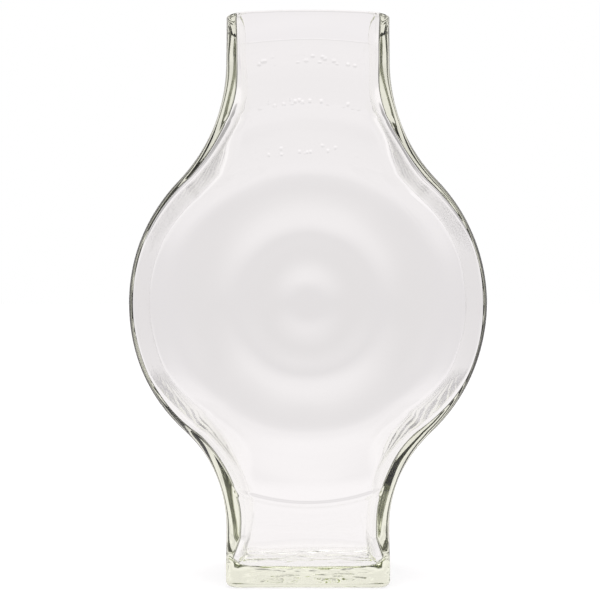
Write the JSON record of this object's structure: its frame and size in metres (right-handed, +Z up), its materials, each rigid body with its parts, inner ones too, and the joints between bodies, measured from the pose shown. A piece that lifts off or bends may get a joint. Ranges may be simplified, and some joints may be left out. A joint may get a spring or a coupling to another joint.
{
  "type": "glass vase",
  "caption": "Flattened clear glass vase: a round drum with raised ripple rings on its broad faces, a square open neck above and a solid square foot below.",
  "frame": {"origin": "middle of the flat resting face under the foot", "axes": "+Z up from the foot to the open mouth, X across the width of the drum, Y through the depth; one broad ringed face looks towards -Y"},
  "size_m": [0.124, 0.057, 0.2],
  "materials": {
    "clear_glass": "clear glass with a faint yellow-green tint in its thick parts, fire-polished outside, with fine mould ripple"
  },
  "bodies": {
    "root": {"vase": "clear_glass"}
  },
  "joints": []
}
